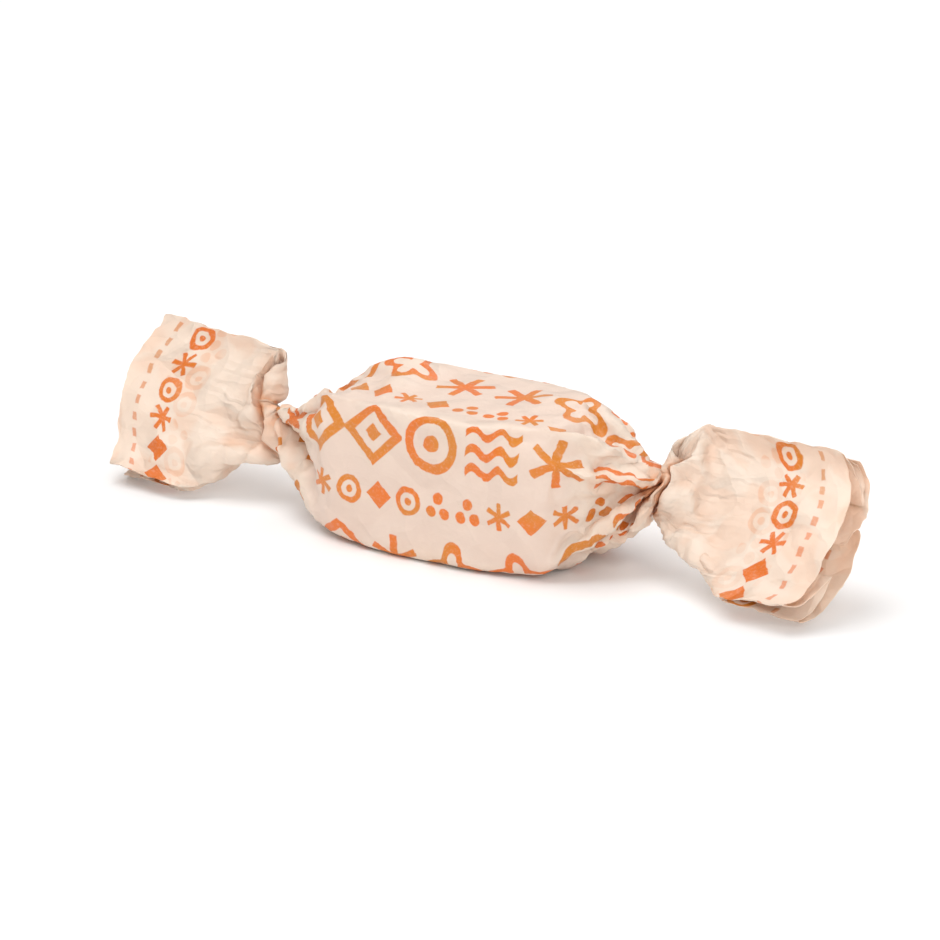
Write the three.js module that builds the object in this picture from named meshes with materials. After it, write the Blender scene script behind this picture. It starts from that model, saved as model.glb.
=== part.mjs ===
// A caramel candy in a twisted paper wrapper, in millimetres, +Z up.
//
// The shut wrapper is one closed solid. A row of rings runs from the cut edge of one tail,
// through its twisted neck and the brick-shaped body, to the cut edge of the other tail.
// Every ring has the same number of points. Point 0 lies under the brick, and the points
// go round by way of the front (-Y), the top and the back.

import * as THREE from 'three';

const FULL_TURN = 2 * Math.PI;
const DEGREE = Math.PI / 180;

// The brick with its paper.
const BRICK_LENGTH = 30;
const BRICK_WIDTH = 17.8;
const BRICK_HEIGHT = 16.6;
const EDGE_RADIUS = 3.3;

// The shoulders, where the paper closes in from the brick to the twisted necks.
const SHOULDER_LENGTH = 8;
const NECK_WIDTH = 7;
const NECK_THICKNESS = 5.2;
const NECK_HEIGHT = 8.6; // of the neck's middle above the table
const SLOPE_START = 2.4; // how far inside the brick's end the paper starts to close in
const SLOPE_BEND = 1.3; // 1 is a straight slope, and above 1 it bends down towards the neck
const HALF_TURN = 180 * DEGREE; // the paper's turn from brick to tail, with no lean
const TURN_DELAY = 1.3; // above 1, more of that turn comes near the neck
const ROUNDING_PACE = 0.5; // below 1, the brick's square section soon turns round
const NECK_FLUTES = 9; // ridges round the neck
const FLUTE_DEPTH = 0.3;

// The tails, each a flat fan of paper that opens out of its neck.
const TAIL_REACH = 23; // neck to cut edge, along the middle
const CORNER_SHORTFALL = 0.04; // share by which the corners of the cut edge are nearer the neck
const TAIL_THICKNESS = 2.2;
const OPENING_LENGTH = 4; // over which the neck turns into the fan
const FLATTENING_LENGTH = 7.5; // over which it thins to the tail
const PLY_SQUARENESS = 0.6; // below 1, the tail's plies lie parallel and meet in blunt folds
const LOWER_SIDE_GROWTH = 6.5; // distance over which the lower side gains most of its width
const LOWER_SIDE_OPEN = 50 * DEGREE; // the widest angle at which the lower side leaves the neck
const PLEATS = 2; // waves across each half of the tail
const PLEAT_UNEVENNESS = 0.12; // how far the pleats crowd towards its sides
const PLEAT_FADE = 0.6; // share of their height that they lose by the cut edge
const CURL_AXIS = 0.4; // the line in the tail that its curl leaves in place, as a share of the upper half

// lean: how far the tail's upper edge leans back from upright, rise: how steeply it climbs,
// upper and lower: its half widths, open: the widest angle at which its upper side leaves the neck,
// pleat: the waves' height, curl: how far the cut edge's lower corner bends out of the plane
const LEFT_TAIL = {
  side: -1,
  lean: 32 * DEGREE,
  yaw: 4 * DEGREE,
  rise: 1.5 * DEGREE,
  upper: 9.4,
  lower: 9.4,
  open: 78 * DEGREE,
  pleat: 0.7,
  curl: -1.2,
};
const RIGHT_TAIL = {
  side: 1,
  lean: 41 * DEGREE,
  yaw: -2.5 * DEGREE,
  rise: 1 * DEGREE,
  upper: 9.3,
  lower: 9.6,
  open: 82 * DEGREE,
  pleat: 0.5,
  curl: 1.2,
};

// How finely the surface is divided.
const RING_POINTS = 60;
const BODY_STATIONS = [-6, 0, 6];
const SHOULDER_RINGS = 14;
const TAIL_RINGS = 11;
const CORNER_SHARE = 0.24; // share of each quarter ring's points that go round its corner
const LARGEST_ROUNDING = 0.9; // of a corner, as a share of the ring's half size
const RING_CROWDING = 1.3; // above 1, rings stand closer together near the neck

const mix = (from, to, share) => from + (to - from) * share;
const clamp = (share) => Math.min(1, Math.max(0, share));
const ease = (share) => clamp(share) ** 2 * (3 - 2 * clamp(share));

/** A point of a rounded rectangle with half sizes a and b, at u of a turn from its bottom middle. */
function roundedRectangle(u, a, b) {
  const radius = Math.min(EDGE_RADIUS, LARGEST_ROUNDING * a, LARGEST_ROUNDING * b);
  const quarter = Math.floor(u * 4);
  const forward = u * 4 - quarter;
  const t = quarter % 2 === 0 ? forward : 1 - forward;
  const flatShare = (1 - CORNER_SHARE) / 2;
  const corner = (clamp((t - flatShare) / CORNER_SHARE) * HALF_TURN) / 2;
  const outwards = clamp(t / flatShare);
  const upwards = clamp((t - 1 + flatShare) / flatShare);
  const y = (a - radius) * outwards + radius * Math.sin(corner);
  const z = (b - radius) * (1 - upwards) + radius * Math.cos(corner);
  return [quarter < 2 ? -y : y, quarter === 0 || quarter === 3 ? -z : z];
}

/** How far the paper has closed in at x: 0 on the brick and 1 at the neck. */
function closing(x) {
  const travelled = x - BRICK_LENGTH / 2 + SLOPE_START;
  return clamp(travelled / (SLOPE_START + SHOULDER_LENGTH)) ** SLOPE_BEND;
}

/** A ring round the body or a shoulder, with x measured from the brick's middle towards the tail. */
function bodyRing(x, tail) {
  const closed = closing(x);
  const top = mix(BRICK_HEIGHT, NECK_HEIGHT + NECK_WIDTH / 2, closed);
  const bottom = mix(0, NECK_HEIGHT - NECK_WIDTH / 2, closed);
  const halfWidth = mix(BRICK_WIDTH, NECK_THICKNESS, closed) / 2;
  const halfHeight = (top - bottom) / 2;
  const turn = (HALF_TURN + tail.lean) * closed ** TURN_DELAY;
  const rounded = closed ** ROUNDING_PACE;
  const ring = [];
  for (let i = 0; i < RING_POINTS; i++) {
    const u = i / RING_POINTS;
    const [squareY, squareZ] = roundedRectangle(u, halfWidth, halfHeight);
    const y = mix(squareY, -halfWidth * Math.sin(FULL_TURN * u), rounded);
    const z = mix(squareZ, -halfHeight * Math.cos(FULL_TURN * u), rounded);
    const flute = (FLUTE_DEPTH * closed * Math.cos(FULL_TURN * NECK_FLUTES * u)) / Math.hypot(y, z);
    const turnedY = (y * Math.cos(turn) + z * Math.sin(turn)) * (1 + flute);
    const turnedZ = (z * Math.cos(turn) - y * Math.sin(turn)) * (1 + flute);
    // The table presses the paper under the brick flat.
    ring.push([tail.side * x, turnedY, Math.max(0, (top + bottom) / 2 + turnedZ)]);
  }
  return ring;
}

/** The angle from a tail's middle line to its upper (across > 0) or lower side. */
function fanAngle(across, distance, tail) {
  if (across > 0) return Math.min(Math.asin(clamp(tail.upper / distance)), tail.open);
  const widest = tail.lower * (1 - Math.exp(-distance / LOWER_SIDE_GROWTH));
  return Math.min(Math.asin(clamp(widest / distance)), LOWER_SIDE_OPEN);
}

/** A ring round a tail at a distance from its neck. Point 0 is on the tail's upper side. */
function tailRing(distance, tail) {
  const opened = ease(distance / OPENING_LENGTH);
  const outwards = distance / TAIL_REACH;
  const thickness = mix(NECK_THICKNESS, TAIL_THICKNESS, ease(distance / FLATTENING_LENGTH));
  const pleatHeight = tail.pleat * opened * (1 - PLEAT_FADE * outwards);
  const fluteShare = (2 * FLUTE_DEPTH * (1 - opened)) / NECK_THICKNESS;
  const ring = [];
  for (let i = 0; i < RING_POINTS; i++) {
    const u = i / RING_POINTS;
    const across = Math.cos(FULL_TURN * u);
    const round = Math.sin(FULL_TURN * u);
    const angle = across * fanAngle(across, distance, tail);
    const radius = distance * (1 - CORNER_SHORTFALL * outwards * across ** 2);
    const along = mix(distance, radius * Math.cos(angle), opened);
    const width = mix((across * NECK_WIDTH) / 2, radius * Math.sin(angle), opened);
    const flute = 1 + fluteShare * Math.cos(FULL_TURN * NECK_FLUTES * u);
    const ply = Math.sign(round) * Math.abs(round) ** mix(1, PLY_SQUARENESS, opened);
    const uneven = across + PLEAT_UNEVENNESS * Math.sin(HALF_TURN * across);
    const wave = pleatHeight * Math.sin(FULL_TURN * PLEATS * uneven);
    const bend = tail.curl * outwards ** 2 * (CURL_AXIS - across);
    const back = (thickness / 2) * ply * flute + wave + bend;
    ring.push([
      tail.side * (BRICK_LENGTH / 2 + SHOULDER_LENGTH + along),
      width * Math.sin(tail.lean) + back * Math.cos(tail.lean) + along * Math.tan(tail.yaw),
      NECK_HEIGHT + width * Math.cos(tail.lean) - back * Math.sin(tail.lean) + along * Math.tan(tail.rise),
    ]);
  }
  return ring;
}

/** The rings of one end, from the start of its shoulder to its cut edge. */
function endRings(tail) {
  const start = BRICK_LENGTH / 2 - SLOPE_START;
  const length = SLOPE_START + SHOULDER_LENGTH;
  const rings = [];
  for (let i = 0; i <= SHOULDER_RINGS; i++) {
    rings.push(bodyRing(start + length * (1 - (1 - i / SHOULDER_RINGS) ** RING_CROWDING), tail));
  }
  for (let i = 1; i <= TAIL_RINGS; i++) {
    rings.push(tailRing(TAIL_REACH * (i / TAIL_RINGS) ** RING_CROWDING, tail));
  }
  return rings;
}

/** One closed surface through all rings, with both cut edges filled in. */
function closedSurface(rings) {
  const last = (rings.length - 1) * RING_POINTS;
  const triangles = [];
  for (let start = 0; start < last; start += RING_POINTS) {
    for (let i = 0; i < RING_POINTS; i++) {
      const next = (i + 1) % RING_POINTS;
      const [a, b] = [start + i, start + next];
      const [c, d] = [a + RING_POINTS, b + RING_POINTS];
      triangles.push(a, c, d, a, d, b);
    }
  }
  for (let i = 0; i < RING_POINTS / 2; i++) {
    const [a, b] = [i, i + 1];
    const [c, d] = [(RING_POINTS - i) % RING_POINTS, RING_POINTS - i - 1];
    if (i > 0) triangles.push(a, b, c, last + a, last + c, last + b);
    if (i < RING_POINTS / 2 - 1) triangles.push(b, d, c, last + b, last + c, last + d);
  }
  const geometry = new THREE.BufferGeometry();
  geometry.setAttribute('position', new THREE.Float32BufferAttribute(rings.flat(2), 3));
  geometry.setIndex(triangles);
  geometry.computeVertexNormals();
  return geometry;
}

/** Moves the geometry so that its box stands on the origin with its bottom middle. */
function standOnOrigin(geometry) {
  geometry.computeBoundingBox();
  const { min, max } = geometry.boundingBox;
  return geometry.translate(-(min.x + max.x) / 2, -(min.y + max.y) / 2, -min.z);
}

const waxedPaper = new THREE.MeshStandardMaterial({
  color: 0xf6dcc8,
  roughness: 0.5,
  metalness: 0,
});

const rings = [
  ...endRings(LEFT_TAIL).reverse(),
  ...BODY_STATIONS.map((x) => bodyRing(x, RIGHT_TAIL)),
  ...endRings(RIGHT_TAIL),
];
const wrappedCandy = new THREE.Mesh(standOnOrigin(closedSurface(rings)), waxedPaper);
wrappedCandy.name = 'wrapped_candy';

const group = new THREE.Group();
group.name = 'wrapped_caramel_candy';
group.add(wrappedCandy);

export default group;
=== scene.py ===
"""A caramel candy in a printed waxed-paper wrapper, twisted shut at both ends.

The wrapper is made as a wrapping machine makes it. A flat sheet is laid round the brick with
its two long edges lapped, jaws grip its tucked and flattened ends and turn them while moving
in, which gathers the two necks, and then they let the tails go.
"""

import math

import bpy
import numpy as np
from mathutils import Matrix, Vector
from mathutils.kdtree import KDTree


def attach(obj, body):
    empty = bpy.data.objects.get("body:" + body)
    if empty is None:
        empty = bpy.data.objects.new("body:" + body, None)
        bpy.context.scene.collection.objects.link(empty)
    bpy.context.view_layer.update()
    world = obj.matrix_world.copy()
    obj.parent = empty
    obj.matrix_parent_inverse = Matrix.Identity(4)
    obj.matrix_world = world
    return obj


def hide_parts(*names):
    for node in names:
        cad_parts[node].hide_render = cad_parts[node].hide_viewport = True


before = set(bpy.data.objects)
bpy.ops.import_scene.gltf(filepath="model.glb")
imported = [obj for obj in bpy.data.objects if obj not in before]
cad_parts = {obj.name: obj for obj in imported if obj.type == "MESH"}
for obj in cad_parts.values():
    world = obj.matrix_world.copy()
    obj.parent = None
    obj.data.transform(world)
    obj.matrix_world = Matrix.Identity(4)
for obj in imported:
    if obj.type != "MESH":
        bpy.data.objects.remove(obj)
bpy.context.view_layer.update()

bl_info = {
    "name": "Wrapped Caramel Candy",
    "version": (1, 0, 0),
    "blender": (4, 5, 0),
    "location": "3D View > Sidebar > Candy",
    "description": "Wraps a caramel brick in printed waxed paper and sets a plain stage for it",
    "category": "Add Mesh",
}

NODE = "wrapped_candy"
BODY = "root"

# Cloth behaves best at the size of a garment, so the paper is wrapped at a hundred times its size.
WORKSHOP_SCALE = 100.0
SHEET_MILLIMETRES = 1000.0 / WORKSHOP_SCALE


# --- Settings ---------------------------------------------------------------------------------


def length_property(name, description, default):
    """A length in metres, shown in the scene's unit."""
    return bpy.props.FloatProperty(
        name=name,
        description=description,
        default=default,
        min=0.0,
        precision=5,
        unit="LENGTH",
    )


def angle_property(name, description, degrees):
    """An angle, given in degrees and kept in radians."""
    return bpy.props.FloatProperty(
        name=name, description=description, default=math.radians(degrees), subtype="ANGLE"
    )


def colour_property(name, description, default):
    """A linear colour with its alpha."""
    return bpy.props.FloatVectorProperty(
        name=name,
        description=description,
        default=(*default, 1.0),
        size=4,
        min=0.0,
        max=1.0,
        subtype="COLOR",
    )


class CandySizes(bpy.types.PropertyGroup):
    """Sizes of the brick, its sheet of paper and the twists."""

    brick_length: length_property("Brick Length", "Length of the caramel brick", 0.0295)
    brick_width: length_property("Brick Width", "Width of the caramel brick", 0.0168)
    brick_height: length_property("Brick Height", "Height of the caramel brick", 0.0152)
    brick_rounding: length_property("Brick Rounding", "Radius of the brick's edges", 0.0032)
    ease: length_property("Ease", "Gap between the brick and the paper laid round it", 0.0003)
    overlap: length_property("Overlap", "How far the sheet's long edges overlap", 0.007)
    gathered: length_property("Gathered Paper", "Paper between the brick and each jaw", 0.0225)
    tail: length_property("Tail", "Paper that each jaw grips", 0.017)
    tail_width: length_property("Tail Width", "Width of the flattened tails", 0.0194)
    bulge: length_property("Cut Edge Bulge", "How far the cut edge's middle slides out", 0.003)
    late_grip: length_property("Late Grip", "How much less of the tail's lower side is gripped", 0.008)
    travel: length_property("Jaw Travel", "How far each jaw moves in while it turns", 0.0095)
    right_turn: angle_property("Right Turn", "How far the right jaw turns", 312)
    left_turn: angle_property("Left Turn", "How far the left jaw turns", 304)
    thickness: length_property("Paper Thickness", "Thickness of the waxed paper", 0.00008)


class CandyColours(bpy.types.PropertyGroup):
    """Colours of the paper and its print."""

    paper: colour_property("Paper", "Paper that stands off the caramel", (0.99, 0.85, 0.715))
    laid: colour_property("Laid Paper", "Paper that lies on the caramel", (0.80, 0.625, 0.52))
    inside: colour_property("Inside", "Paper's inner side, lit through the print", (0.95, 0.70, 0.52))
    # Also used for painted warm shade in the necks, the deep folds and the facets' valleys.
    fold: colour_property("Folded Paper", "Paper many plies deep", (0.88, 0.36, 0.12))
    ink: colour_property("Ink", "Print", (0.80, 0.18, 0.018))
    thin_ink: colour_property("Thin Ink", "Print where less ink was laid", (0.70, 0.23, 0.022))
    glow: colour_property("Glow", "Light that comes through the paper", (1.0, 0.72, 0.47))


class StageSettings(bpy.types.PropertyGroup):
    """Where the camera stands, and the floor."""

    azimuth: angle_property("Azimuth", "Camera's turn about the candy", 32)
    elevation: angle_property("Elevation", "Camera's height as an angle", 18.4)
    distance: length_property("Distance", "From the camera to the candy's middle", 0.513)
    view_width: length_property("View Width", "Width of the picture at the candy", 0.100)
    floor: colour_property("Floor", "Colour of the floor", (0.95, 0.95, 0.95))


# --- Shader expressions -----------------------------------------------------------------------


class Value:
    """A socket that carries a number. Arithmetic on it adds Math nodes to its tree."""

    def __init__(self, nodes, socket):
        self.nodes = nodes
        self.socket = socket

    def math(self, operation, *others, clamp=False):
        inputs = {i: other for i, other in enumerate((self, *others))}
        settings = {"operation": operation, "use_clamp": clamp}
        return self.nodes.value("ShaderNodeMath", settings, inputs)

    def __add__(self, other):
        return self.math("ADD", other)

    def __sub__(self, other):
        return self.math("SUBTRACT", other)

    def __rsub__(self, other):
        return self.nodes.number(other).math("SUBTRACT", self)

    def __mul__(self, other):
        return self.math("MULTIPLY", other)

    def __truediv__(self, other):
        return self.math("DIVIDE", other)

    def __pow__(self, other):
        return self.math("POWER", other)

    def __lt__(self, other):
        return self.math("LESS_THAN", other)

    def __gt__(self, other):
        return self.math("GREATER_THAN", other)

    def __abs__(self):
        return self.math("ABSOLUTE")

    __radd__ = __add__
    __rmul__ = __mul__

    def smaller(self, other):
        return self.math("MINIMUM", other)

    def clamped(self):
        return self.math("ADD", 0.0, clamp=True)

    def floored(self):
        return self.math("FLOOR")

    def wrapped(self, high, low):
        return self.math("WRAP", high, low)

    def folded(self, scale):
        return self.math("PINGPONG", scale)

    def sine(self):
        return self.math("SINE")

    def rising(self, low, high):
        """0 below low, 1 above high and a smooth step between them."""
        settings = {"interpolation_type": "SMOOTHSTEP"}
        inputs = {"Value": self, "From Min": low, "From Max": high}
        return self.nodes.value("ShaderNodeMapRange", settings, inputs)


class Nodes:
    """Adds nodes to a material's tree."""

    def __init__(self, name):
        self.material = bpy.data.materials.new(name)
        self.material.use_nodes = True
        self.tree = self.material.node_tree
        self.tree.nodes.clear()

    def add(self, kind, settings=None, inputs=None):
        node = self.tree.nodes.new(kind)
        for key, setting in (settings or {}).items():
            setattr(node, key, setting)
        for key, given in (inputs or {}).items():
            given = given.socket if isinstance(given, Value) else given
            if isinstance(given, bpy.types.NodeSocket):
                self.tree.links.new(given, node.inputs[key])
            else:
                node.inputs[key].default_value = given
        return node

    def value(self, kind, settings=None, inputs=None, output=0):
        return Value(self, self.add(kind, settings, inputs).outputs[output])

    def number(self, amount):
        return self.value("ShaderNodeMath", {"operation": "ADD"}, {0: amount, 1: 0.0})

    def attribute(self, name):
        return self.value("ShaderNodeAttribute", {"attribute_name": name}, output="Fac")

    def mixed(self, factor, first, second):
        """A colour mixed from two, which are colours or colour sockets."""
        settings = {"data_type": "RGBA", "clamp_factor": True}
        node = self.add("ShaderNodeMix", settings, {0: factor, 6: first, 7: second})
        return node.outputs[2]

    def vector(self, x, y):
        return self.add("ShaderNodeCombineXYZ", None, {0: x, 1: y}).outputs[0]

    def noise(self, vector, scale, detail=2.0, roughness=0.5):
        inputs = {"Vector": vector, "Scale": scale, "Detail": detail, "Roughness": roughness}
        return self.value("ShaderNodeTexNoise", None, inputs)

    def random(self, vector):
        return self.value("ShaderNodeTexWhiteNoise", {"noise_dimensions": "2D"}, {"Vector": vector})

    def finish(self, shader):
        self.add("ShaderNodeOutputMaterial", None, {"Surface": shader})
        return self.material


# --- The sheet of paper -----------------------------------------------------------------------


def eased(share):
    """0 to 1 with a gentle start and end, from a number or an array."""
    share = np.clip(share, 0.0, 1.0)
    return share * share * (3.0 - 2.0 * share)


def along_path(corners, lengths, share):
    """A point on a closed path whose straight stretches count as long as lengths says."""
    left = (share % 1.0) * sum(lengths)
    for start, end, length in zip(corners, corners[1:] + corners[:1], lengths):
        if left <= length + 1e-9:
            t = left / length
            return start[0] + (end[0] - start[0]) * t, start[1] + (end[1] - start[1]) * t
        left -= length
    return corners[0]


class SheetPlan:
    """Where each point of the sheet lies, flat and laid round the brick, in workshop units.

    Rows run along the candy and columns run round it. The sheet's inner long edge starts under
    the brick, behind its middle, and the sheet goes round by way of the front, the top and the
    back to its outer long edge.
    """

    ROUND_STEP = 0.105
    FINE_STEP, BODY_STEP, TAIL_STEP = 0.08, 0.18, 0.14
    PLY_SPACING = 0.07  # between the flattened plies as the jaws first hold them
    LAP_SPACING = 0.03  # between the lapped edges
    PRESSED_SPACING = 0.6  # share of the plies' spacing that is left once the jaws have closed
    PINNED_MIDDLE = 0.6  # half length of paper that friction holds on the brick
    LOOSE_FROM = 0.9  # from here outwards the rows are close together
    PAST_JAW = 0.3
    SLOPE_STEPS = 400
    MARGIN = 1e-3

    def __init__(self, sizes, coarseness):
        scale = WORKSHOP_SCALE
        self.half_length = sizes.brick_length * scale / 2
        self.a = (sizes.brick_width / 2 + sizes.ease) * scale
        self.b = (sizes.brick_height / 2 + sizes.ease) * scale
        self.gathered = sizes.gathered * scale
        self.tail = sizes.tail * scale
        self.overlap = sizes.overlap * scale
        self.perimeter = 4 * (self.a + self.b)
        self.tail_half = sizes.tail_width * scale / 2
        self.inner_edge = self.overlap / 2
        self.jaw = self.half_length + self.gathered
        self.end = self.jaw + self.tail
        columns = round((self.perimeter + self.overlap) / (self.ROUND_STEP * coarseness))
        self.round = np.linspace(0.0, self.perimeter + self.overlap, columns + 1)
        self.along = self.rows(coarseness)
        self.lay_out()

    def rows(self, coarseness):
        """Distances of the rows along the sheet, closest together where it is gathered."""
        half = [0.0]
        while half[-1] < self.end - 1e-6:
            here = half[-1]
            gathered = self.LOOSE_FROM <= here < self.jaw + self.PAST_JAW
            step = self.BODY_STEP if here < self.LOOSE_FROM else self.TAIL_STEP
            half.append(here + (self.FINE_STEP if gathered else step) * coarseness)
        half = np.array(half) * self.end / half[-1]
        return np.concatenate([-half[:0:-1], half])

    def on_brick(self, share, lap):
        a, b, edge = self.a + lap, self.b + lap, self.inner_edge
        corners = [(edge, -b), (-a, -b), (-a, b), (a, b), (a, -b)]
        lengths = [self.a + edge, 2 * self.b, 2 * self.a, 2 * self.b, self.a - edge]
        return along_path(corners, lengths, share)

    def in_jaw(self, share, lap):
        """The flattened tail: both sides are tucked in between its upper and lower plies."""
        w, edge, ply = self.tail_half, self.inner_edge, self.PLY_SPACING
        fold = self.a + self.b - w
        tuck = w - fold
        corners = [(edge, -ply - lap), (-w, -ply - lap), (-tuck, 0.0), (-w, ply), (w, ply)]
        corners += [(tuck, 0.0), (w, -ply - lap)]
        return along_path(corners, [w + edge, fold, fold, 2 * w, fold, fold, w - edge], share)

    def lay_out(self):
        shares = self.round / self.perimeter
        laps = self.LAP_SPACING * (shares[-1] - shares)
        brick = np.array([self.on_brick(share, lap) for share, lap in zip(shares, laps)])
        jaw = np.array([self.in_jaw(share, lap) for share, lap in zip(shares, laps)])
        # Sloping from the brick's faces to the jaw takes up some of the sheet's length.
        fine = np.linspace(0.0, self.gathered, self.SLOPE_STEPS)
        slope = np.gradient(self.b * eased(fine / self.gathered), fine)
        taken = np.cumsum(1.0 - np.sqrt(1.0 - slope**2)) * (fine[1] - fine[0])
        self.jaw_place = self.jaw - taken[-1]
        beyond = np.abs(self.along) - self.half_length
        flatness = eased(beyond / self.gathered)[None, :, None]
        x = self.along - np.sign(self.along) * np.interp(beyond, fine, taken, left=0.0)
        section = brick[:, None] * (1.0 - flatness) + jaw[:, None] * flatness
        straight = np.broadcast_to(brick[:, None], section.shape)
        self.start = self.points(x, section)
        self.rest = self.points(self.along, straight)

    def points(self, x, section):
        x = np.broadcast_to(x[None, :, None], (len(self.round), len(self.along), 1))
        return np.concatenate([x, section], axis=2)

    def pressed(self, bulge):
        """The start, with the tails pressed thinner and their cut edges' middles slid out."""
        points = self.start.copy()
        gripped = np.abs(self.along) >= self.jaw - self.MARGIN
        middle = 1.0 - (points[:, gripped, 1] / self.tail_half) ** 2
        points[:, gripped, 0] += np.sign(self.along[gripped]) * bulge * middle
        points[:, gripped, 2] *= self.PRESSED_SPACING
        return points

    def gripped(self, side, late_grip):
        """The points that a jaw holds. It holds less of the side that ends up low."""
        low_side = np.clip(-self.start[:, :, 1] / self.tail_half, 0.0, 1.0)
        held = side * self.along[None, :] >= self.jaw + late_grip * low_side - self.MARGIN
        return np.flatnonzero(held)

    def held_on_brick(self):
        held = np.abs(self.along) <= self.PINNED_MIDDLE
        return np.flatnonzero(np.broadcast_to(held, self.start.shape[:2]))


def only(obj):
    """Selects one object alone and makes it the active one."""
    bpy.ops.object.select_all(action="DESELECT")
    obj.select_set(True)
    bpy.context.view_layer.objects.active = obj


def set_points(data, points):
    data.foreach_set("co", np.ascontiguousarray(points, dtype=np.float32).ravel())


def get_points(mesh):
    points = np.empty(len(mesh.vertices) * 3, dtype=np.float32)
    mesh.vertices.foreach_get("co", points)
    return points.reshape(-1, 3)


def coarseness():
    """Above 1 while trying things out, when speed matters more than the finish."""
    return 1.0


class CANDY_OT_lay_paper(bpy.types.Operator):
    """Lays a flat sheet of paper round the brick, with its ends tucked in and flattened"""

    bl_idname = "candy.lay_paper"
    bl_label = "Lay Paper"

    def execute(self, context):
        sizes = context.scene.candy_sizes
        plan = SheetPlan(sizes, coarseness())
        columns, rows = len(plan.round), len(plan.along)
        bpy.ops.object.select_all(action="DESELECT")
        bpy.ops.mesh.primitive_grid_add(x_subdivisions=rows - 1, y_subdivisions=columns - 1, size=1)
        paper = context.active_object
        paper.name = "wrapper"
        if len(paper.data.vertices) != columns * rows:
            raise RuntimeError("the grid hasn't the rows and columns of the plan")
        self.lay_uv(paper.data, plan)
        for name, points in (
            ("Basis", plan.start),
            ("flat", plan.rest),
            ("pressed", plan.pressed(sizes.bulge * WORKSHOP_SCALE)),
        ):
            bpy.ops.object.shape_key_add(from_mix=False)
            key = paper.active_shape_key
            key.name = name
            set_points(key.data, points)
        set_points(paper.data.vertices, plan.start)
        return {"FINISHED"}

    def lay_uv(self, mesh, plan):
        """Gives the sheet its flat coordinates, in workshop units, as its UV map."""
        flat = np.stack(np.meshgrid(plan.along, plan.round), axis=2).reshape(-1, 2)
        corners = np.empty(len(mesh.loops), dtype=np.int32)
        mesh.loops.foreach_get("vertex_index", corners)
        layer = mesh.uv_layers.active
        layer.name = "sheet"
        layer.data.foreach_set("uv", flat[corners].astype(np.float32).ravel())


# --- Twisting ---------------------------------------------------------------------------------

TWIST_FRAMES = 60
SETTLE_FRAMES = 6
RELEASE_FRAMES = 10
PAPER_DISTANCE = 0.012  # that the paper keeps from the brick, and in the end from itself
PLY_DISTANCE = 0.03  # that the paper keeps from itself as it is gathered
TABLE_SIZE = Vector((12, 6, 1))
TABLE_DROP = 0.075  # room for the lapped paper under the brick


def set_group(obj, name, indices):
    """Makes the vertex group hold these vertices alone."""
    group = obj.vertex_groups.get(name) or obj.vertex_groups.new(name=name)
    group.remove(range(len(obj.data.vertices)))
    group.add(indices.tolist(), 1.0, "REPLACE")
    return group


def add_collider(size, location, rounding):
    """A box that the paper can't pass."""
    bpy.ops.object.select_all(action="DESELECT")
    bpy.ops.mesh.primitive_cube_add(size=1, location=location)
    box = bpy.context.active_object
    box.scale = size
    bpy.ops.object.transform_apply(location=False, rotation=False, scale=True)
    if rounding:
        bpy.ops.object.modifier_add(type="BEVEL")
        bevel = box.modifiers[-1]
        bevel.width, bevel.segments = rounding, 4
        bpy.ops.object.modifier_apply(modifier=bevel.name)
    bpy.ops.object.modifier_add(type="COLLISION")
    box.collision.thickness_outer = PAPER_DISTANCE
    box.collision.cloth_friction = 20
    return box


def add_cloth(paper, bending, ply_distance, last_frame):
    """Makes the paper move like thin paper, in which only the pinned points are held."""
    only(paper)
    bpy.ops.object.modifier_add(type="CLOTH")
    cloth = paper.modifiers[-1]
    settings, contact = cloth.settings, cloth.collision_settings
    settings.quality = 6
    settings.mass = 0.3
    settings.tension_stiffness = settings.compression_stiffness = 80
    settings.shear_stiffness = 48
    settings.bending_stiffness = bending
    settings.tension_damping = settings.compression_damping = settings.shear_damping = 25
    settings.bending_damping = 5
    settings.air_damping = 3
    settings.vertex_group_mass = "held"
    settings.effector_weights.gravity = 0
    contact.collision_quality = 3
    contact.distance_min = PAPER_DISTANCE
    contact.use_self_collision = True
    contact.self_distance_min = ply_distance
    contact.self_friction = 5
    cloth.point_cache.frame_start = 1
    cloth.point_cache.frame_end = last_frame
    return settings


def run_cloth(paper, helpers, last_frame):
    """Plays the cloth through, keeps its last shape and removes what it needed."""
    scene = bpy.context.scene
    scene.frame_start, scene.frame_end = 1, last_frame
    for number in range(1, last_frame + 1):
        scene.frame_set(number)
    only(paper)
    bpy.ops.object.convert(target="MESH")
    for helper in helpers:
        bpy.data.objects.remove(helper, do_unlink=True)
    for action in list(bpy.data.actions):
        bpy.data.actions.remove(action)
    scene.frame_set(1)


def add_brick_and_table(sizes):
    scale = WORKSHOP_SCALE
    size = Vector((sizes.brick_length, sizes.brick_width, sizes.brick_height)) * scale
    brick = add_collider(size, (0, 0, 0), sizes.brick_rounding * scale)
    table_top = -size.z / 2 - TABLE_DROP
    table = add_collider(TABLE_SIZE, (0, 0, table_top - TABLE_SIZE.z / 2), 0)
    return [brick, table]


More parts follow.
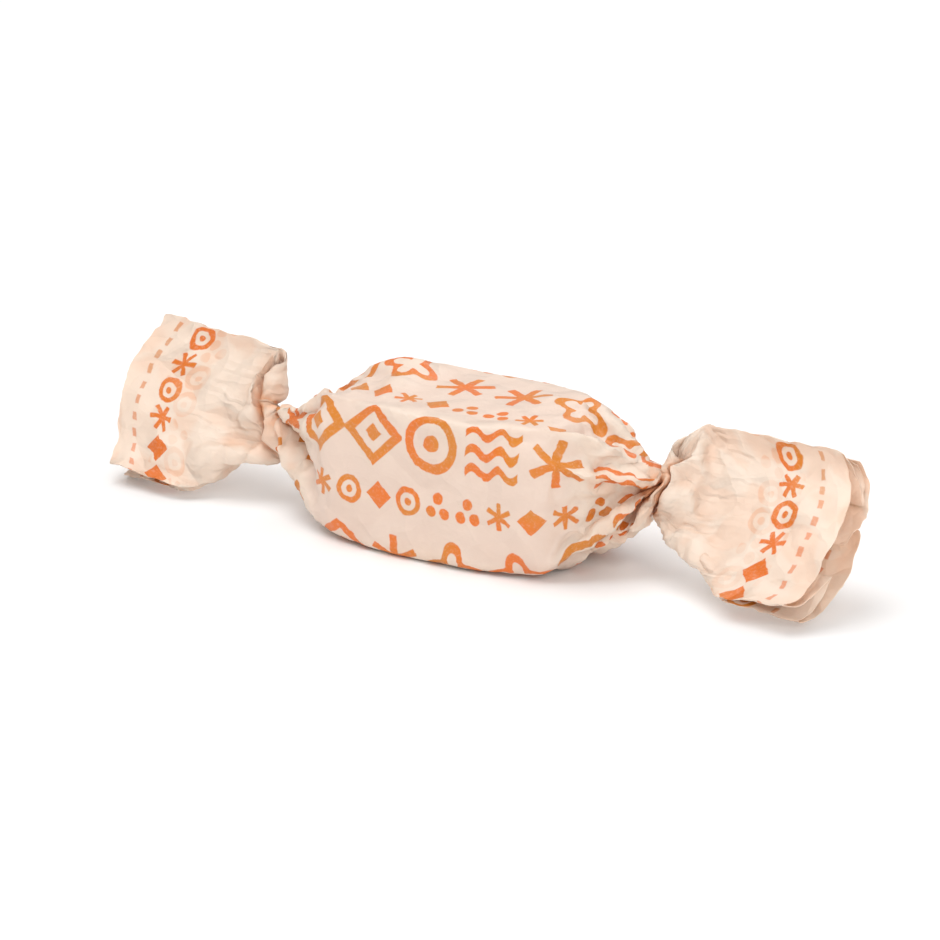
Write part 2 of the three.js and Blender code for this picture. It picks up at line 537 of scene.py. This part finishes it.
class CANDY_OT_twist_ends(bpy.types.Operator):
    """Turns both gripped ends of the paper while they move in, which gathers the necks"""

    bl_idname = "candy.twist_ends"
    bl_label = "Twist Ends"

    BENDING = 4.0  # low, so that the paper gathers into narrow pleats
    JAWS = (  # side, rise and yaw of the tail in degrees
        (1, 3.0, -2.0),
        (-1, 3.5, 5.0),
    )

    def execute(self, context):
        sizes = context.scene.candy_sizes
        plan = SheetPlan(sizes, coarseness())
        paper = context.scene.objects["wrapper"]
        helpers = add_brick_and_table(sizes)
        held = [plan.held_on_brick()]
        for side, rise, yaw in self.JAWS:
            gripped = plan.gripped(side, sizes.late_grip * WORKSHOP_SCALE)
            turn = sizes.right_turn if side > 0 else sizes.left_turn
            held.append(gripped)
            start = Vector((side * plan.jaw_place, 0, 0))
            path = Vector((-side * sizes.travel, 0, 0)) * WORKSHOP_SCALE
            angles = (-turn, -side * math.radians(rise), side * math.radians(yaw))
            helpers.append(self.add_jaw(paper, side, gripped, start, start + path, angles))
        set_group(paper, "held", np.concatenate(held))
        self.press_tails(paper)
        last_frame = TWIST_FRAMES + SETTLE_FRAMES
        settings = add_cloth(paper, self.BENDING, PLY_DISTANCE, last_frame)
        settings.rest_shape_key = paper.data.shape_keys.key_blocks["flat"]
        self.even_speed()
        run_cloth(paper, helpers, last_frame)
        return {"FINISHED"}

    def add_jaw(self, paper, side, gripped, start, end, angles):
        """An empty that carries the gripped points as it turns and moves in."""
        bpy.ops.object.select_all(action="DESELECT")
        bpy.ops.object.empty_add(location=start)
        jaw = bpy.context.active_object
        bpy.context.view_layer.update()
        group = set_group(paper, f"gripped_{side}", gripped)
        only(paper)
        bpy.ops.object.modifier_add(type="HOOK")
        hook = paper.modifiers[-1]
        hook.object = jaw
        hook.vertex_group = group.name
        hook.matrix_inverse = jaw.matrix_world.inverted()
        for number, place, turned in ((1, start, (0, 0, 0)), (TWIST_FRAMES, end, angles)):
            jaw.location = place
            jaw.rotation_euler = turned
            jaw.keyframe_insert("location", frame=number)
            jaw.keyframe_insert("rotation_euler", frame=number)
        return jaw

    def press_tails(self, paper):
        pressed = paper.data.shape_keys.key_blocks["pressed"]
        for number, amount in ((1, 0.0), (TWIST_FRAMES, 1.0)):
            pressed.value = amount
            pressed.keyframe_insert("value", frame=number)

    def even_speed(self):
        for action in bpy.data.actions:
            for curve in action.fcurves:
                for key in curve.keyframe_points:
                    key.interpolation = "LINEAR"


class CANDY_OT_release_tails(bpy.types.Operator):
    """Lets the tails go, so that their plies part and wave a little"""

    bl_idname = "candy.release_tails"
    bl_label = "Release Tails"

    BENDING = 20.0  # high, so that the tails stay in wide, smooth waves
    HELD_MIDDLE = 1.0
    NECK_HALF_LENGTH = 0.15
    NECK_FROM, NECK_UP_TO = 0.3, 0.2  # past the brick's end and past the first place of the jaw

    def execute(self, context):
        sizes = context.scene.candy_sizes
        plan = SheetPlan(sizes, coarseness())
        paper = context.scene.objects["wrapper"]
        held = np.zeros(plan.start.shape[:2], dtype=bool)
        held[:, np.abs(plan.along) <= self.HELD_MIDDLE] = True
        helpers = add_brick_and_table(sizes)
        points = get_points(paper.data).reshape(plan.start.shape)
        for side in (-1, 1):
            neck = self.neck_row(plan, points, side)
            near = np.abs(plan.along - plan.along[neck]) <= self.NECK_HALF_LENGTH
            held[:, near] = True
            helpers.append(self.add_flutter(side))
        set_group(paper, "held", np.flatnonzero(held))
        add_cloth(paper, self.BENDING, PAPER_DISTANCE, RELEASE_FRAMES)
        run_cloth(paper, helpers, RELEASE_FRAMES)
        return {"FINISHED"}

    def neck_row(self, plan, points, side):
        """The row where the paper of one end is gathered closest."""
        distance = side * plan.along
        past_brick = distance > plan.half_length + self.NECK_FROM
        before_tail = distance < plan.jaw + self.NECK_UP_TO
        between = np.flatnonzero(past_brick & before_tail)
        section = points[:, between, 1:]
        spread = np.linalg.norm(section - section.mean(axis=0), axis=2).mean(axis=0)
        return between[np.argmin(spread)]

    def add_flutter(self, side):
        bpy.ops.object.select_all(action="DESELECT")
        bpy.ops.object.effector_add(type="TURBULENCE", location=(side * 4.0, 0, 0))
        flutter = bpy.context.active_object
        flutter.field.strength = 4.0
        flutter.field.size = 3.0
        flutter.field.noise = 0.2
        flutter.field.flow = 0.0
        flutter.field.seed = 3 + side
        return flutter


# --- Finishing the wrapper --------------------------------------------------------------------


def set_attribute(mesh, name, values):
    attribute = mesh.attributes.new(name, "FLOAT", "POINT")
    attribute.data.foreach_set("value", np.ascontiguousarray(values, dtype=np.float32))


def distance_to_brick(points, sizes):
    """How far each point is from the brick, in workshop units."""
    scale = WORKSHOP_SCALE
    half = np.array((sizes.brick_length, sizes.brick_width, sizes.brick_height)) * scale / 2
    rounding = sizes.brick_rounding * scale
    outside = np.maximum(np.abs(points) - (half - rounding), 0.0)
    return np.maximum(np.linalg.norm(outside, axis=1) - rounding, 0.0)


def plies_near(points, areas, reach=0.16):
    """About how many plies of paper pass by each point: 1 on a flat sheet, more in a neck."""
    tree = KDTree(len(points))
    for index, point in enumerate(points):
        tree.insert(point, index)
    tree.balance()
    near = [sum(areas[index] for _, index, _ in tree.find_range(point, reach)) for point in points]
    return np.array(near) / (math.pi * reach**2)


class CANDY_OT_finish_wrapper(bpy.types.Operator):
    """Gives the paper its thickness, real size, materials and place"""

    bl_idname = "candy.finish_wrapper"
    bl_label = "Finish Wrapper"

    SMOOTH_UP_TO = math.radians(50)
    INSIDE_PRINT = 0.45  # how much of the print shows through on the inner side
    CREASES = (  # name, size of the facets and depth, in workshop units
        ("folds", 0.4, 0.11),
        ("crumples", 0.18, 0.045),
    )
    BRICK_CREASES = 0.22  # their share of that depth on the brick
    TAIL_SMOOTHING = 0.6  # the share that they lose on the tails

    def execute(self, context):
        sizes = context.scene.candy_sizes
        colours = context.scene.candy_colours
        paper = context.scene.objects["wrapper"]
        plan = SheetPlan(sizes, coarseness())
        points = get_points(paper.data)
        areas = np.outer(np.gradient(plan.round), np.gradient(plan.along)).ravel()
        set_attribute(paper.data, "lift", distance_to_brick(points, sizes))
        set_attribute(paper.data, "plies", plies_near(points, areas.tolist()))
        self.crease(paper, plan)
        paper.scale = (1 / WORKSHOP_SCALE,) * 3
        bpy.ops.object.transform_apply(location=False, rotation=False, scale=True)
        bpy.ops.object.modifier_add(type="SOLIDIFY")
        solidify = paper.modifiers[-1]
        solidify.thickness = sizes.thickness
        solidify.offset = -1.0
        solidify.material_offset = 1
        bpy.ops.object.modifier_apply(modifier=solidify.name)
        bpy.ops.object.shade_smooth_by_angle(angle=self.SMOOTH_UP_TO)
        paper.location = (0, 0, -get_points(paper.data)[:, 2].min())
        bpy.ops.object.transform_apply(location=True, rotation=False, scale=False)
        half_sheet = plan.end * SHEET_MILLIMETRES
        for name, colour, strength in (
            ("waxed_paper", colours.paper, 1.0),
            ("paper_inside", colours.inside, self.INSIDE_PRINT),
        ):
            paper.data.materials.append(waxed_paper(name, colours, colour, half_sheet, strength))
        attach(paper, BODY)
        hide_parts(NODE)
        return {"FINISHED"}

    def crease(self, paper, plan):
        """Divides the paper more finely and crumples it, least on the brick.

        The crumples depend on the place alone, so plies that touch move together.
        """
        only(paper)
        paper.vertex_groups.clear()
        handled = paper.vertex_groups.new(name="handled")
        for row, amount in enumerate(self.crease_amounts(plan)):
            indices = range(row, len(paper.data.vertices), len(plan.along))
            handled.add(list(indices), float(amount), "REPLACE")
        bpy.ops.object.modifier_add(type="SUBSURF")
        paper.modifiers[-1].levels = paper.modifiers[-1].render_levels = 1
        bpy.ops.object.modifier_apply(modifier=paper.modifiers[-1].name)
        for name, scale, strength in self.CREASES:
            texture = bpy.data.textures.new(name, "CLOUDS")
            texture.cloud_type = "COLOR"
            texture.noise_type = "HARD_NOISE"
            texture.noise_scale = scale
            texture.noise_depth = 1
            bpy.ops.object.modifier_add(type="DISPLACE")
            displace = paper.modifiers[-1]
            displace.texture = texture
            displace.texture_coords = "LOCAL"
            displace.direction = "RGB_TO_XYZ"
            displace.vertex_group = "handled"
            displace.strength = strength
            displace.mid_level = 0.5
            bpy.ops.object.modifier_apply(modifier=displace.name)
        paper.vertex_groups.clear()

    def crease_amounts(self, plan):
        """The creases' share of their depth in each row of the sheet."""
        distance = np.abs(plan.along)
        off_brick = eased(distance - plan.half_length + 0.5)
        on_tail = eased((distance - plan.jaw + 0.3) / 0.9)
        rest = 1.0 - self.BRICK_CREASES
        return self.BRICK_CREASES + rest * off_brick * (1.0 - self.TAIL_SMOOTHING * on_tail)


# --- Print and paper --------------------------------------------------------------------------

# Lengths in this section are in millimetres on the flat sheet.
PRINT_SOFTNESS = 0.07
ROW_PITCH = 13.6  # of a row of big shapes and one of small shapes together
ROW_START = 7.4  # from the sheet's inner long edge
ROW_SHIFT = 2.6  # of each row along the candy, past the one before
ROWS_END = 26.5  # from the sheet's middle
BIG_MIDDLE, SMALL_MIDDLE = 4.3, 11.3  # from the row's start
BIG_PITCH, SMALL_PITCH = 7.3, 3.7
BAND_MIDDLE, DASH_MIDDLE = 6.6, 2.9  # from the cut edge
BAND_PITCH, BAND_HALF_WIDTH = 3.3, 1.7
DASH_HALF_PITCH, DASH_HALF_LENGTH, DASH_HALF_WIDTH = 0.9, 0.5, 0.28
DASH_INK = 0.7
SMALL_SEED, BAND_SEED = 40.0, 90.0  # so that no two rows have the same order of shapes

DIAMOND_SLANT = 0.9  # below 1, taller than it is wide
SPOKE_COSINE, SPOKE_SINE = 0.5, 0.866
WAVE_PACE, WAVE_HEIGHT, WAVE_HALF_SPACING = 2.1, 0.5, 1.05
FLOWER_RADIUS, PETAL_LENGTH = 2.15, 1.5
DIAMOND_NARROWING, WAVE_NARROWING, FLOWER_NARROWING = 0.743, 0.85, 0.8  # for their lines' slope
TINY = 0.001  # so that nothing is divided by 0


def stroke(distance, half_width):
    """1 within half_width of where the distance is 0."""
    return 1 - abs(distance).rising(half_width - PRINT_SOFTNESS, half_width + PRINT_SOFTNESS)


def inside(distance, edge):
    """1 where the distance is below edge."""
    return 1 - distance.rising(edge - PRINT_SOFTNESS, edge + PRINT_SOFTNESS)


def outlined(distance, middle, half_line, dot):
    """A line at a distance from the middle, round a dot."""
    return stroke(distance - middle, half_line) + inside(distance, dot)


def star(x, y, radius, half_line, reach):
    """Three lines that cross like the spokes of a wheel."""
    leaning = x * SPOKE_COSINE
    upright = y * SPOKE_SINE
    from_spoke = abs(x).smaller(abs(leaning + upright)).smaller(abs(leaning - upright))
    return inside(from_spoke, half_line) * inside(radius, reach)


def waves(x, y):
    """Three wavy lines, one above the other."""
    risen = y - (x * WAVE_PACE).sine() * WAVE_HEIGHT
    from_line = risen.wrapped(WAVE_HALF_SPACING, -WAVE_HALF_SPACING) * WAVE_NARROWING
    return stroke(from_line, half_width=0.4) * inside(abs(x), edge=3.1) * inside(abs(y), edge=3.0)


def flower(x, y, radius):
    """The outline of a flower with four petals."""
    quarters = (x * x - y * y) / (x * x + y * y + TINY)
    petals = quarters * quarters * PETAL_LENGTH - PETAL_LENGTH / 2
    return stroke((radius - FLOWER_RADIUS - petals) * FLOWER_NARROWING, half_width=0.46)


def big_shapes(x, y):
    """A ring, a diamond, a star, three waves and a flower, each about 6.5 across."""
    radius = (x * x + y * y) ** 0.5
    slanted = (abs(x) * DIAMOND_SLANT + abs(y)) * DIAMOND_NARROWING
    return (
        outlined(radius, middle=2.7, half_line=0.5, dot=0.95),
        outlined(slanted, middle=2.1, half_line=0.48, dot=0.72),
        star(x, y, radius, half_line=0.46, reach=3.1),
        waves(x, y),
        flower(x, y, radius),
    )


def trefoil(x, y, out, low, high, dot):
    """Three dots, two below and one above."""
    sideways = abs(x) - out
    below = y + low
    above = y - high
    pair = inside((sideways * sideways + below * below) ** 0.5, dot)
    return pair + inside((x * x + above * above) ** 0.5, dot)


def small_shapes(x, y):
    """A dotted ring, a solid diamond, a star and a trefoil of dots, each about 3 across."""
    radius = (x * x + y * y) ** 0.5
    return (
        outlined(radius, middle=1.25, half_line=0.3, dot=0.42),
        inside(abs(x) + abs(y), edge=1.5),
        star(x, y, radius, half_line=0.27, reach=1.5),
        trefoil(x, y, out=0.85, low=0.65, high=0.85, dot=0.62),
    )


def chosen(shapes, pick):
    """One of the shapes, by a random number from 0 to 1 that is the same all over a cell."""
    share = 1 / len(shapes)
    total = shapes[0] * (pick < share)
    for number, shape in enumerate(shapes[1:], 1):
        total = total + shape * (pick > number * share) * (pick < (number + 1) * share)
    return total


def row_of(nodes, shapes, along, across, pitch, seed):
    """A row of shapes, each in its own cell, from points along and across the row."""
    cell = (along / pitch).floored()
    x = along - (cell + 0.5) * pitch
    return chosen(shapes(x, across), nodes.random(nodes.vector(cell, seed)))


def body_print(nodes, along, around):
    """Rows of big shapes and of small ones, by turns, along the body."""
    from_start = around - ROW_START
    row = (from_start / ROW_PITCH).floored()
    across = from_start - row * ROW_PITCH
    shifted = along + row * ROW_SHIFT
    big = row_of(nodes, big_shapes, shifted, across - BIG_MIDDLE, BIG_PITCH, row)
    small = row_of(
        nodes, small_shapes, shifted, across - SMALL_MIDDLE, SMALL_PITCH, row + SMALL_SEED
    )
    return (big + small) * inside(abs(along), ROWS_END)


def tail_print(nodes, along, around, half_sheet):
    """A band of small shapes and a row of dashes across each tail."""
    inwards = half_sheet - abs(along)
    in_band = inwards - BAND_MIDDLE
    band = row_of(nodes, small_shapes, around, in_band, BAND_PITCH, BAND_SEED)
    dash = stroke(around.wrapped(DASH_HALF_PITCH, -DASH_HALF_PITCH), DASH_HALF_LENGTH)
    dashes = stroke(inwards - DASH_MIDDLE, DASH_HALF_WIDTH) * dash
    return band * stroke(in_band, BAND_HALF_WIDTH) + dashes * DASH_INK


CREASE_LINES = (  # direction in degrees from the candy's length, width of the facets and slope
    (17, 3.3, 0.45),
    (71, 4.6, 0.45),
    (-41, 3.9, 0.4),
    (-78, 2.7, 0.25),
)
CREASE_BENDING = 14.0  # how far the crease lines wander
CREASE_STEP = 40.0  # between the places where two sets of them read the same noise
BRICK_FLATNESS = 0.45  # share of the facets' slope that paper on the brick loses
PLEAT_WIDTH, PLEAT_SLOPE, PLEAT_DRIFT = 0.7, 0.8, 4.0
PLEAT_LENGTHENING = 0.4  # below 1, the pleats drift slowly along their length
PLEAT_MIDDLE = 19.0  # where the pleats are deepest, from the cut edge
PLEAT_REACH = (2.0, 13.0)  # from there to where they start to fade and where they end


def facets(nodes, along, around):
    """The height of flat facets that meet in sharp creases, as in paper that was handled."""
    total = 0.0
    for number, (direction, width, slope) in enumerate(CREASE_LINES):
        angle = math.radians(direction)
        own_place = nodes.vector(along + number * CREASE_STEP, around)
        bend = nodes.noise(own_place, scale=0.12, detail=1.0) * CREASE_BENDING
        across = along * math.cos(angle) + around * math.sin(angle) + bend
        total = total + across.folded(width) * slope
    return total


def fine_pleats(nodes, along, around, half_sheet):
    """The height of the fine pleats that run out from the necks."""
    stretched = nodes.vector(along * PLEAT_LENGTHENING, around)
    drift = nodes.noise(stretched, scale=0.4, detail=2.0) * PLEAT_DRIFT
    near = 1 - abs(half_sheet - abs(along) - PLEAT_MIDDLE).rising(*PLEAT_REACH)
    return (around + drift).folded(PLEAT_WIDTH) * near * PLEAT_SLOPE


RESTING_LIFT = (0.02, 0.3)  # off the brick, in workshop units: from lying on it to free of it
# Tints towards the fold colour: a light one where a few plies lie together, for print seen through
# them, and a strong one where many crowd in the necks and deep folds, which is painted warm shade.
FEW_PLIES, FEW_PLIES_TINT = (1.8, 4.4), 0.17
MANY_PLIES, MANY_PLIES_TINT_AND_SHADE = (4.5, 10.0), 0.75
MOTTLING = 0.5
VALLEY_HEIGHT = (2.2, 2.9)  # of the facets: from their valleys, which get painted warm shade and are taken to touch the ply behind, to free of it
# Painted warm shade in the facets' valleys, in the fold colour.
VALLEY_SHADE_TINT = 0.15
PLY_MIRROR = 51.3  # a place round the sheet and this less that place lie on facing plies
PLY_STRETCH = 1.055  # brings the print of the ply behind nearer the neck
FREE_GHOST, TOUCHING_GHOST = 0.15, 0.3  # how much of that print shows through
PRINT_WOBBLE = 0.3
THINNEST_INK = 0.75
FREE_GLOW, LEAST_GLOW = 0.22, 0.03  # shares of light that pass through the paper
INK_SHADING = 0.6  # share of it that the ink stops
BUMP_DEPTH = 0.0002  # in metres, of a height of 1
FIBRE_HEIGHT, CRUMPLE_DEPTH = 0.05, 0.7
LEAST_ROUGHNESS, FIBRE_ROUGHNESS, INK_GLOSS = 0.36, 0.15, 0.06


def paper_colour(nodes, flat, resting, free_colour, colours):
    """Greyer where the paper lies on the caramel, and orange where it is many plies deep: partly the
    print seen through stacked plies, and painted warm shade in the necks and deep folds.
    """
    plies = nodes.attribute("plies")
    mottle = nodes.noise(flat, scale=0.3, detail=4.0, roughness=0.6) - 0.5
    colour = nodes.mixed((resting + mottle * MOTTLING).clamped(), free_colour, colours.laid)
    colour = nodes.mixed(plies.rising(*FEW_PLIES) * FEW_PLIES_TINT, colour, colours.fold)
    # Painted warm shade where many plies crowd in the necks and deep folds.
    return nodes.mixed(plies.rising(*MANY_PLIES) * MANY_PLIES_TINT_AND_SHADE, colour, colours.fold)


def laid_ink(nodes, flat, along, around, half_sheet):
    """How much ink there is, with its grain."""
    ink = body_print(nodes, along, around) + tail_print(nodes, along, around, half_sheet)
    grain = nodes.noise(flat, scale=3.0, detail=3.0, roughness=0.6).rising(0.2, 0.55)
    return ink * (grain * (1 - THINNEST_INK) + THINNEST_INK)


def seen_behind(nodes, along, mirrored, touching, half_sheet):
    """How much the next ply's print shows through, and painted warm shade in the facets' valleys,
    where the plies are taken to touch.
    """
    ghost = tail_print(nodes, along * PLY_STRETCH, mirrored, half_sheet)
    strength = touching * (TOUCHING_GHOST - FREE_GHOST) + FREE_GHOST
    # Painted warm shade in the facets' valleys.
    return ghost * strength + touching * VALLEY_SHADE_TINT


def waxed_paper(name, colours, free_colour, half_sheet, print_strength):
    """Thin printed waxed paper."""
    nodes = Nodes(name)
    sheet = nodes.add("ShaderNodeUVMap", {"uv_map": "sheet"}).outputs[0]
    parts = nodes.add("ShaderNodeSeparateXYZ", None, {0: sheet})
    along = Value(nodes, parts.outputs[0]) * SHEET_MILLIMETRES
    around = Value(nodes, parts.outputs[1]) * SHEET_MILLIMETRES
    flat = nodes.vector(along, around)
    resting = 1 - nodes.attribute("lift").rising(*RESTING_LIFT)
    bends = facets(nodes, along, around)
    # The facets' valleys off the brick: they get painted warm shade and more of the print behind.
    touching = (1 - bends.rising(*VALLEY_HEIGHT)) * (1 - resting)
    wobble = nodes.noise(flat, scale=1.2, detail=2.0) * PRINT_WOBBLE
    behind = seen_behind(nodes, along, PLY_MIRROR - around + wobble, touching, half_sheet)
    colour = paper_colour(nodes, flat, resting, free_colour, colours)
    # Painted warm shade in the facets' valleys, with the print of the ply behind.
    colour = nodes.mixed(behind, colour, colours.fold)
    ink = laid_ink(nodes, flat, along + wobble, around + wobble, half_sheet)
    ink = (ink * print_strength).clamped()
    thinness = nodes.noise(flat, scale=0.11, detail=1.0).rising(0.4, 0.6)
    colour = nodes.mixed(ink, colour, nodes.mixed(thinness, colours.ink, colours.thin_ink))
    fibres = nodes.noise(flat, scale=5.0, detail=4.0, roughness=0.65)
    crumple = abs(nodes.noise(flat, scale=0.55, detail=4.0) - 0.5)
    relief = bends * (1 - resting * BRICK_FLATNESS)
    relief = relief + fine_pleats(nodes, along, around, half_sheet)
    height = relief + fibres * FIBRE_HEIGHT - crumple * CRUMPLE_DEPTH
    bump_inputs = {"Strength": 1.0, "Distance": BUMP_DEPTH, "Height": height}
    bump = nodes.add("ShaderNodeBump", None, bump_inputs).outputs[0]
    paper_inputs = {
        "Base Color": colour,
        "Roughness": fibres * FIBRE_ROUGHNESS + LEAST_ROUGHNESS - ink * INK_GLOSS,
        "Normal": bump,
        "IOR": 1.45,
        "Coat Weight": 0.12,
        "Coat Roughness": 0.3,
    }
    paper = nodes.add("ShaderNodeBsdfPrincipled", None, paper_inputs).outputs[0]
    through_inputs = {"Color": colours.glow, "Normal": bump}
    through = nodes.add("ShaderNodeBsdfTranslucent", None, through_inputs).outputs[0]
    share = (1 - resting) * (1 - ink * INK_SHADING) * FREE_GLOW + LEAST_GLOW
    mixed = nodes.add("ShaderNodeMixShader", None, {0: share, 1: paper, 2: through})
    return nodes.finish(mixed.outputs[0])


# --- Stage ------------------------------------------------------------------------------------


class CANDY_OT_set_stage(bpy.types.Operator):
    """Sets a pale floor, soft studio lights and the camera"""

    bl_idname = "candy.set_stage"
    bl_label = "Set Stage"

    FLOOR_SIZE = 6.0
    MIDDLE_HEIGHT = 0.008  # of the point that the camera and the lights face
    WORLD_STRENGTH = 0.5
    LIGHTS = (  # name, place, size and power in watts
        ("key", (-0.22, -0.16, 0.80), 0.7, 4.4),
        ("fill", (0.50, -0.45, 0.40), 0.5, 2.0),
        ("back", (0.1, 0.6, 0.5), 0.5, 1.3),
    )

    def execute(self, context):
        stage = context.scene.stage_settings
        scene = context.scene
        scene.view_settings.view_transform = "Standard"
        middle = Vector((0.0, 0.0, self.MIDDLE_HEIGHT))
        bpy.ops.object.select_all(action="DESELECT")
        bpy.ops.mesh.primitive_plane_add(size=self.FLOOR_SIZE)
        floor = context.active_object
        floor.name = "floor"
        nodes = Nodes("floor")
        floor_inputs = {"Base Color": stage.floor, "Roughness": 0.6}
        shader = nodes.add("ShaderNodeBsdfPrincipled", None, floor_inputs)
        floor.data.materials.append(nodes.finish(shader.outputs[0]))
        for name, place, size, power in self.LIGHTS:
            bpy.ops.object.light_add(type="AREA", location=place)
            light = context.active_object
            light.name = name
            light.data.size = size
            light.data.energy = power
            light.rotation_euler = (middle - Vector(place)).to_track_quat("-Z", "Y").to_euler()
        world = bpy.data.worlds.new("studio")
        world.use_nodes = True
        background = world.node_tree.nodes["Background"]
        background.inputs["Color"].default_value = (1.0, 1.0, 1.0, 1.0)
        background.inputs["Strength"].default_value = self.WORLD_STRENGTH
        scene.world = world
        self.add_camera(scene, stage, middle)
        return {"FINISHED"}

    def add_camera(self, scene, stage, middle):
        azimuth, elevation = stage.azimuth, stage.elevation
        towards = Vector(
            (
                math.sin(azimuth) * math.cos(elevation),
                -math.cos(azimuth) * math.cos(elevation),
                math.sin(elevation),
            )
        )
        bpy.ops.object.camera_add(location=middle + towards * stage.distance)
        camera = bpy.context.active_object
        camera.rotation_euler = (-towards).to_track_quat("-Z", "Y").to_euler()
        camera.data.lens = camera.data.sensor_width * stage.distance / stage.view_width
        camera.data.clip_start = 0.01
        scene.camera = camera


# --- Add-on -----------------------------------------------------------------------------------

STEPS = (
    CANDY_OT_lay_paper,
    CANDY_OT_twist_ends,
    CANDY_OT_release_tails,
    CANDY_OT_finish_wrapper,
    CANDY_OT_set_stage,
)
GROUPS = {
    "candy_sizes": CandySizes,
    "candy_colours": CandyColours,
    "stage_settings": StageSettings,
}


class CANDY_PT_panel(bpy.types.Panel):
    """Lists the steps and the settings"""

    bl_idname = "CANDY_PT_panel"
    bl_label = "Wrapped Candy"
    bl_space_type = "VIEW_3D"
    bl_region_type = "UI"
    bl_category = "Candy"

    def draw(self, context):
        for step in STEPS:
            self.layout.operator(step.bl_idname)
        for name, group in GROUPS.items():
            box = self.layout.box()
            for setting in group.__annotations__:
                box.prop(getattr(context.scene, name), setting)


def register():
    for group in GROUPS.values():
        bpy.utils.register_class(group)
    for cls in (*STEPS, CANDY_PT_panel):
        bpy.utils.register_class(cls)
    for name, group in GROUPS.items():
        setattr(bpy.types.Scene, name, bpy.props.PointerProperty(type=group))


def unregister():
    for name in GROUPS:
        delattr(bpy.types.Scene, name)
    for cls in (CANDY_PT_panel, *reversed(STEPS), *GROUPS.values()):
        bpy.utils.unregister_class(cls)


def main():
    register()
    bpy.ops.candy.lay_paper()
    bpy.ops.candy.twist_ends()
    bpy.ops.candy.release_tails()
    bpy.ops.candy.finish_wrapper()
    bpy.ops.candy.set_stage()


if __name__ == "__main__":
    main()
